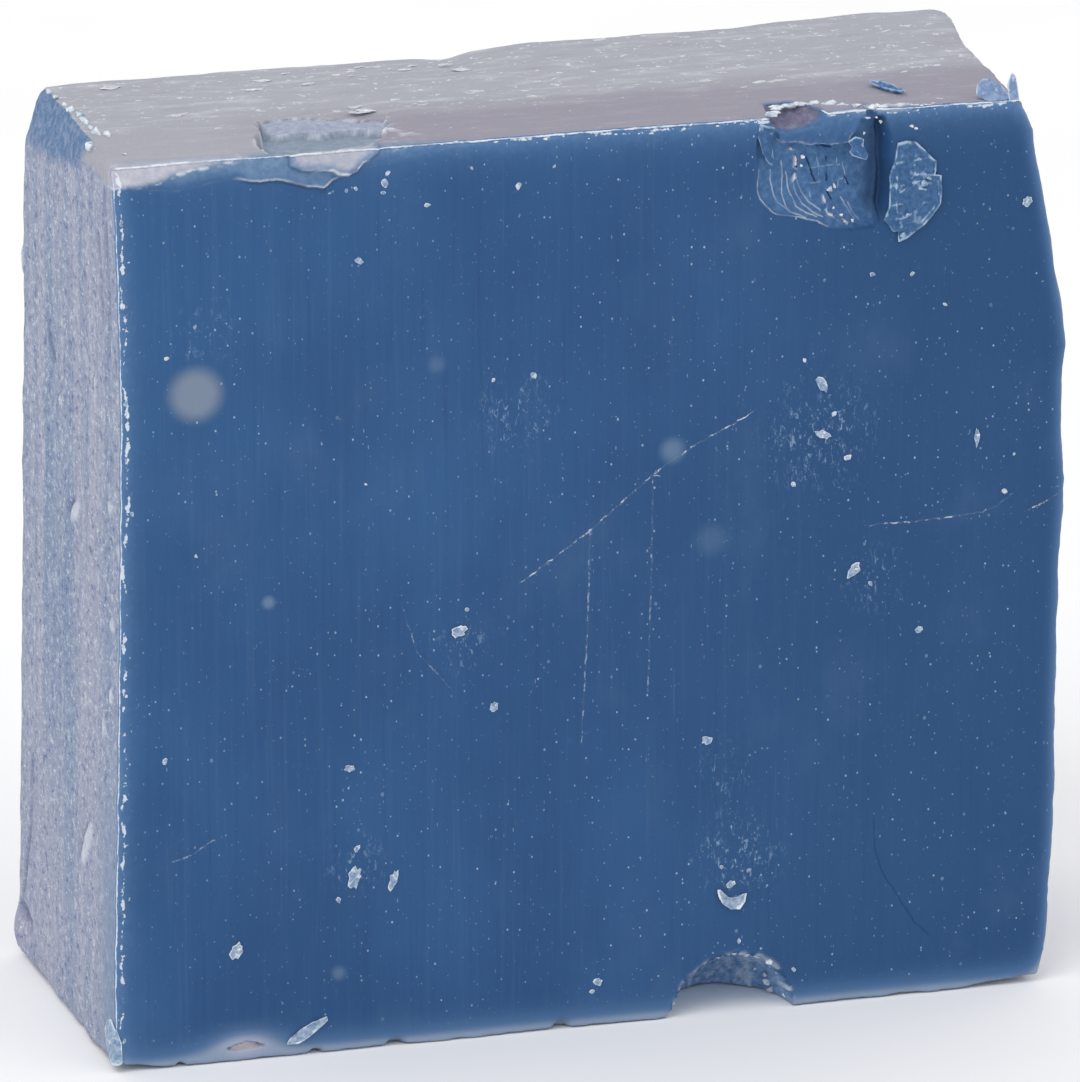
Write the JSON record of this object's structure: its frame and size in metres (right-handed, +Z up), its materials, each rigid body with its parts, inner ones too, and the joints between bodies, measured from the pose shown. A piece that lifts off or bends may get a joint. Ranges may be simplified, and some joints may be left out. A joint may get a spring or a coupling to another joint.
{
  "type": "clay bar",
  "caption": "Cut block of blue waxy detailing clay, standing on a narrow side, with a gouged corner, a lifted flake, a bitten lower edge and loose shavings.",
  "frame": {"origin": "on the resting face, under the middle of the bar's box", "axes": "+X along the width, -Y is the broad front face, +Z is up"},
  "size_m": [0.0827, 0.0326, 0.0782],
  "materials": {
    "clay": "satin",
    "thin_clay": "satin",
    "pale_crumb": "matte",
    "pale_lump": "matte"
  },
  "bodies": {
    "root": {"clay_block": "clay", "large_pale_inclusion": "pale_lump", "small_pale_inclusions": "pale_lump", "gouge_shell_lobe": "thin_clay", "gouge_torn_tongue": "thin_clay", "gouge_hanging_flake": "thin_clay", "gouge_crumbs": "pale_crumb", "top_blue_shaving": "thin_clay", "top_corner_curls": "thin_clay", "top_crumbs": "pale_crumb", "chip_edge_crumbs": "pale_crumb", "front_long_shaving": "pale_crumb", "front_flakes": "thin_clay", "edge_crumbs": "pale_crumb", "bottom_corner_flake": "pale_crumb", "scallop_crumbs": "pale_crumb"}
  },
  "joints": []
}
